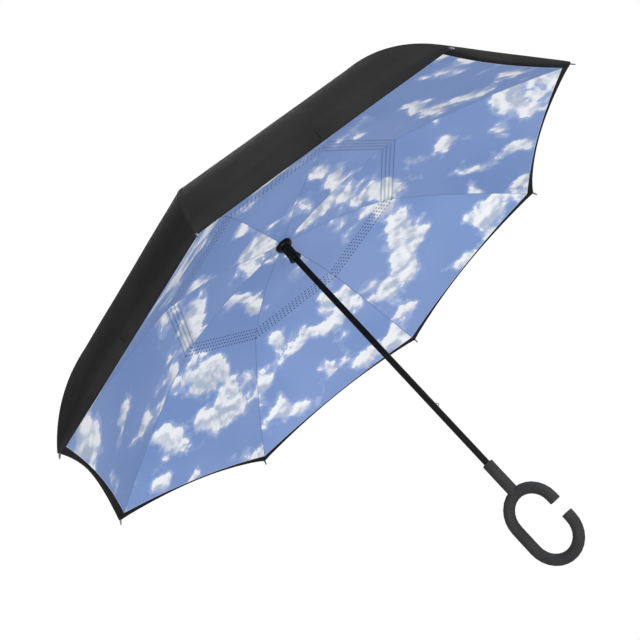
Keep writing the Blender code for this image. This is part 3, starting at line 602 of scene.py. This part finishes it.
def cloud_place(tree, place, step=(0, 0)):
    """Where a spot of the cloth lies in the clouds' pattern, or a step aside of it."""
    x, y = (a + b for a, b in zip(CLOUD_SHIFT, step))
    return mapped(tree, place, CLOUD_STRETCH, CLOUD_TURN, (x, y, 0))


def cloud_puffs(tree, drift):
    """The noise that shapes the clouds."""
    return noise(tree, drift, scale=14.0, detail=8.0, roughness=0.52, distortion=0.15)


def sky(tree, place):
    """Blue with a scatter of soft white clouds, made from layered noise."""
    drift = cloud_place(tree, place)
    puffs = cloud_puffs(tree, drift)
    beside = cloud_puffs(tree, cloud_place(tree, place, CLOUD_LIGHT_STEP))
    clusters = noise(tree, drift, scale=6.5, detail=1.0, roughness=0.5)
    density = value_math(tree, "MULTIPLY_ADD", clusters, CLUSTER_WEIGHT, puffs)
    cover = soft_step(tree, density, low=1.008, high=1.042)
    veil = soft_step(tree, density, low=0.935, high=1.025)
    lit = soft_step(tree, value_math(tree, "SUBTRACT", puffs, beside), low=-0.09, high=0.08)
    white = mix_colour(tree, lit, *CLOUD_WHITE)
    broad = soft_step(tree, noise(tree, drift, scale=3.0, detail=2.0), low=0.3, high=0.7)
    blue = mix_colour(tree, broad, *SKY_BLUE)
    return mix_colour(tree, cover, tint(tree, blue, veil, strength=0.30, tone=HAZE), white)


def sky_cloth(name):
    """Cloth printed with a sky, with a pale line at its edge, a seam on each rib and a ring of holes."""
    made, tree, shader = nodes_of(name)
    place = cloth_place(tree)
    edge = value_math(tree, "LESS_THAN", mark(tree, "rim"), EDGE_WIDTH)
    colour = tint(tree, sky(tree, place), edge, strength=0.25, tone=PALE_EDGE)
    thread = soft_step(tree, mark(tree, "seam"), low=THREAD_OUTSIDE, high=THREAD_INSIDE)
    colour = tint(tree, colour, thread, strength=0.5, tone=THREAD_BLUE)
    colour = tint(tree, colour, vent_holes(tree, place), strength=0.95, tone=HOLE_BLUE)
    link(tree, colour, shader.inputs["Base Color"])
    uneven_gloss(tree, shader, place, scale=80.0, detail=2.0, low=0.70, spread=0.10)
    cloth_relief(tree, shader, place, squeeze=0.25, scale=30.0, strength=0.18)
    return made


OUTER = black_cloth("outer_cloth")
SKY = sky_cloth("sky_cloth")
HEM = black_cloth("hem_cloth")
COAT = plain_finish("shaft_coat", DEEP_BLACK, roughness=0.24, depth=0.000004, shine=0.09)
RUBBER = plain_finish("grip_rubber", RUBBER_GREY, roughness=0.66, grain=1600, shine=0.10)
PLASTIC = plain_finish("black_nylon", DEEP_BLACK, roughness=0.34, shine=0.08)
GLOSS = plain_finish("gloss_cap", GLOSS_BLACK, roughness=0.10, depth=0.000004, shine=0.14)
STEEL = plain_finish("black_steel", STEEL_GREY, roughness=0.40, metallic=0.85)
ZINC = plain_finish("zinc", ZINC_GREY, roughness=0.36, metallic=1.0)
GLASS = plain_finish("black_fibreglass", GLASS_BLACK, roughness=0.45)


def dress_frame():
    """Gives each visible solid of the frame its finish."""
    plan = {
        "shaft": COAT,
        "handle": RUBBER,
        "top_notch": PLASTIC,
        "ferrule": PLASTIC,
        "runner": PLASTIC,
        "lining_disc": GLOSS,
        "notch_wire": ZINC,
        "runner_wire": ZINC,
        "notch_pin": ZINC,
        "runner_stop_pin": ZINC,
        "lower_catch": STEEL,
        "upper_catch": STEEL,
    }
    for k in range(1, RIBS + 1):
        plan[f"rib_channel_{k}"] = STEEL
        plan[f"rib_joint_{k}"] = PLASTIC
        plan[f"rib_tip_{k}"] = ZINC
        plan[f"stretcher_{k}"] = STEEL
    for node, finish in plan.items():
        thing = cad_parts[node]
        thing.data.materials.clear()
        thing.data.materials.append(finish)


# How the pieces follow the bars

def straighten(thing, rib):
    """Rides on the rib's outer bar, on a mesh of its own."""
    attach(thing, f"rib_outer_{rib}")
    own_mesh(thing)


def gather(thing, body):
    """Rides on a bar, on a mesh of its own."""
    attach(thing, body)
    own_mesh(thing)


def fold_in(thing, rib):
    """Rides on the rib's outer bar, on a mesh of its own."""
    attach(thing, f"rib_outer_{rib}")
    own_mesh(thing)


def bend_over(thing):
    """Keeps the piece where it is, with its place baked into its mesh."""
    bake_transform(thing)


def declare(replaced):
    """Hides the node of the frame that a piece of cloth replaces."""
    node, slot = replaced
    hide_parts(node)


# Pieces round one rib

def add_rod(rib):
    """A bent fibreglass rod that rides on the rib's outer bar, in place of the frame's rod."""
    turn, sides = rib_turn(rib), ROD_SIDES
    vertices, faces = [], []
    for i in range(ROD_PARTS + 1):
        angle = ARC_FIRST + (ARC_LAST - ARC_FIRST) * (ROD_START_SHARE + ROD_COVER_SHARE * i / ROD_PARTS)
        for k in range(sides):
            around = 2 * math.pi * k / sides
            r, z = on_arc(angle, ROD_R * math.cos(around))
            vertices.append(turn @ Vector((r, ROD_R * math.sin(around), z)))
    for i in range(ROD_PARTS):
        for k in range(sides):
            a, b = i * sides + k, i * sides + (k + 1) % sides
            faces.append((a, b, b + sides, a + sides))
    faces.append(tuple(range(sides - 1, -1, -1)))
    faces.append(tuple(ROD_PARTS * sides + k for k in range(sides)))
    mesh = bpy.data.meshes.new(f"rod_{rib}")
    mesh.from_pydata(vertices, [], faces)
    mesh.shade_smooth()
    thing = add(f"bent_rod_{rib}", mesh, GLASS)
    straighten(thing, rib)
    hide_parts(f"rib_rod_{rib}")


def add_canopy(rib):
    """The outer canopy round one rib, in pieces that follow its bars."""
    arm, support = f"stretcher_arm_{rib}", f"rib_rod_{rib}"
    rows = rows_between(CANOPY_HOLE_R, CANOPY_CENTRE_R)
    piece = cloth(f"canopy_centre_{rib}", rib, CANOPY, rows, OUTER, ridge=SEAM_HEIGHT)
    bend_over(piece[0])
    declare(CANOPY_NODE)
    rows = rows_between(CANOPY_CENTRE_R, JOINT_R)
    piece = cloth(f"canopy_inner_{rib}", rib, CANOPY, rows, OUTER, ridge=SEAM_HEIGHT, ripple=RIPPLE)
    gather(piece[0], arm)
    declare(CANOPY_NODE)
    rows = rows_between(JOINT_R, CANOPY[-1, 0])
    piece = cloth(f"canopy_strip_{rib}", rib, CANOPY, rows, OUTER, edge=canopy_strip, ridge=SEAM_HEIGHT)
    straighten(piece[0], rib)
    declare(CANOPY_NODE)
    for side in (-1, 1):
        name = f"canopy_{PARTS[side]}_{rib}"
        piece = cloth(name, rib, CANOPY, rows, OUTER, side=side, edge=canopy_strip, ripple=RIPPLE)
        fold_in(piece[0], rib)
        declare(CANOPY_NODE)


def add_lining(rib):
    """The lining round one rib, in pieces that follow its bars."""
    inner, outer, support = f"rib_inner_{rib}", f"rib_outer_{rib}", f"rib_rod_{rib}"
    rows = rows_between(LINING_HOLE_R, LINING_CENTRE_R)
    piece = cloth(f"lining_centre_{rib}", rib, LINING, rows, SKY)
    bend_over(piece[0])
    declare(LINING_NODE)
    near, far = rows_between(LINING_CENTRE_R, JOINT_R), rows_between(JOINT_R, LINING[-1, 0])
    piece = cloth(f"lining_strip_{rib}", rib, LINING, near + far[1:], SKY, edge=lining_strip)
    bend_over(piece[0])
    declare(LINING_NODE)
    for side in (-1, 1):
        name = f"lining_near_{PARTS[side]}_{rib}"
        piece = cloth(name, rib, LINING, near, SKY, side=side, edge=lining_strip, ripple=RIPPLE)
        gather(piece[0], inner)
        declare(LINING_NODE)
        name = f"lining_far_{PARTS[side]}_{rib}"
        piece = cloth(name, rib, LINING, far, SKY, side=side, edge=lining_strip, ripple=RIPPLE)
        fold_in(piece[0], rib)
        declare(LINING_NODE)


def hem_spot(kind, back, lift, share):
    """Point of a row of the hem in a rib's frame."""
    if kind == "edge":
        top, low = (Vector(surface(line, line[-1, 0] - sag(share), share)) for line in (CANOPY, LINING))
        out = HEM_ROLL * math.sin(math.pi * back)
        return top * back + low * (1 - back) + Vector((out * HEM_ROLL_OUT, 0, -out * HEM_ROLL_DOWN))
    line = CANOPY if kind == "canopy" else LINING
    spot = Vector(surface(line, line[-1, 0] - sag(share) - back, share))
    spot.z += lift
    return spot


def add_hem(rib, side):
    """The outer canopy's hem, turned in behind the lining's edge: on the rib, or on one side of it."""
    turn, rim = rib_turn(rib), LINING[-1, 0]
    shares = shares_across(rim, side, lining_strip(rim))
    points, uvs = [], []
    for n, (kind, back, lift) in enumerate(HEM_ROWS):
        points.append([turn @ hem_spot(kind, back, lift, share) for share in shares])
        row = [(share * HEM_UV_WIDTH + GORE_SHIFT_U * rib, n * HEM_UV_ROW) for share in shares]
        uvs.append([(uv, uv) for uv in row])
    name = f"hem_{PARTS[side]}_{rib}"
    thing = add(name, grid_mesh(name, points, uvs, {}, side), HEM)
    if side:
        fold_in(thing, rib)
    else:
        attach(thing, f"rib_outer_{rib}")
    declare(CANOPY_NODE)


# Camera, lamps and surroundings

def add_camera():
    data = bpy.data.cameras.new("camera")
    data.lens = CAMERA_LENS
    data.sensor_width = CAMERA_SENSOR
    data.clip_start, data.clip_end = CLIP_START, CLIP_END
    camera = bpy.data.objects.new("camera", data)
    bpy.context.collection.objects.link(camera)
    right, up = Vector(CAMERA_RIGHT), Vector(CAMERA_UP)
    axes = Matrix((right, up, right.cross(up))).transposed().to_4x4()
    camera.matrix_world = Matrix.Translation(CAMERA_PLACE) @ axes
    bpy.context.scene.camera = camera


def add_lamp(name, place, aim, width, watts):
    data = bpy.data.lights.new(name, "AREA")
    data.shape = "SQUARE"
    data.size = width
    data.energy = watts
    lamp = bpy.data.objects.new(name, data)
    bpy.context.collection.objects.link(lamp)
    lamp.location = place
    lamp.rotation_mode = "QUATERNION"
    lamp.rotation_quaternion = (Vector(aim) - Vector(place)).to_track_quat("-Z", "Y")


def seen_directly(tree):
    """One for camera, mirror and glass rays, and zero for the rest."""
    path = tree.nodes.new("ShaderNodeLightPath")
    rays = [path.outputs[n] for n in ("Is Camera Ray", "Is Glossy Ray", "Is Transmission Ray")]
    return value_math(tree, "MAXIMUM", value_math(tree, "MAXIMUM", rays[0], rays[1]), rays[2])


def add_world():
    """Grey light from all round, behind a background that is white where it is seen."""
    world = bpy.data.worlds.new("studio")
    bpy.context.scene.world = world
    world.use_nodes = True
    tree = world.node_tree
    colour = mix_colour(tree, seen_directly(tree), WORLD_GREY, WHITE)
    link(tree, colour, tree.nodes["Background"].inputs["Color"])


def add_floor():
    turns = [2 * math.pi * k / FLOOR_SIDES for k in range(FLOOR_SIDES)]
    rim = [(FLOOR_R * math.cos(a), FLOOR_R * math.sin(a), FLOOR_Z) for a in turns]
    mesh = bpy.data.meshes.new("floor")
    mesh.from_pydata(rim, [], [tuple(range(FLOOR_SIDES))])
    made, tree, shader = nodes_of("floor_paper")
    tone = noise(tree, object_place(tree), scale=2.0, detail=2.0)
    link(tree, mix_colour(tree, tone, *PAPER_WHITE), shader.inputs["Base Color"])
    shader.inputs["Roughness"].default_value = 0.9
    add("floor", mesh, made)


def main():
    dress_frame()
    for k in range(1, RIBS + 1):
        add_rod(k)
        add_canopy(k)
        add_lining(k)
        for side in PARTS:
            add_hem(k, side)
    add_camera()
    add_world()
    add_floor()
    for name, settings in LAMPS.items():
        add_lamp(name, *settings)
    bpy.context.scene.view_settings.view_transform = "Standard"


main()
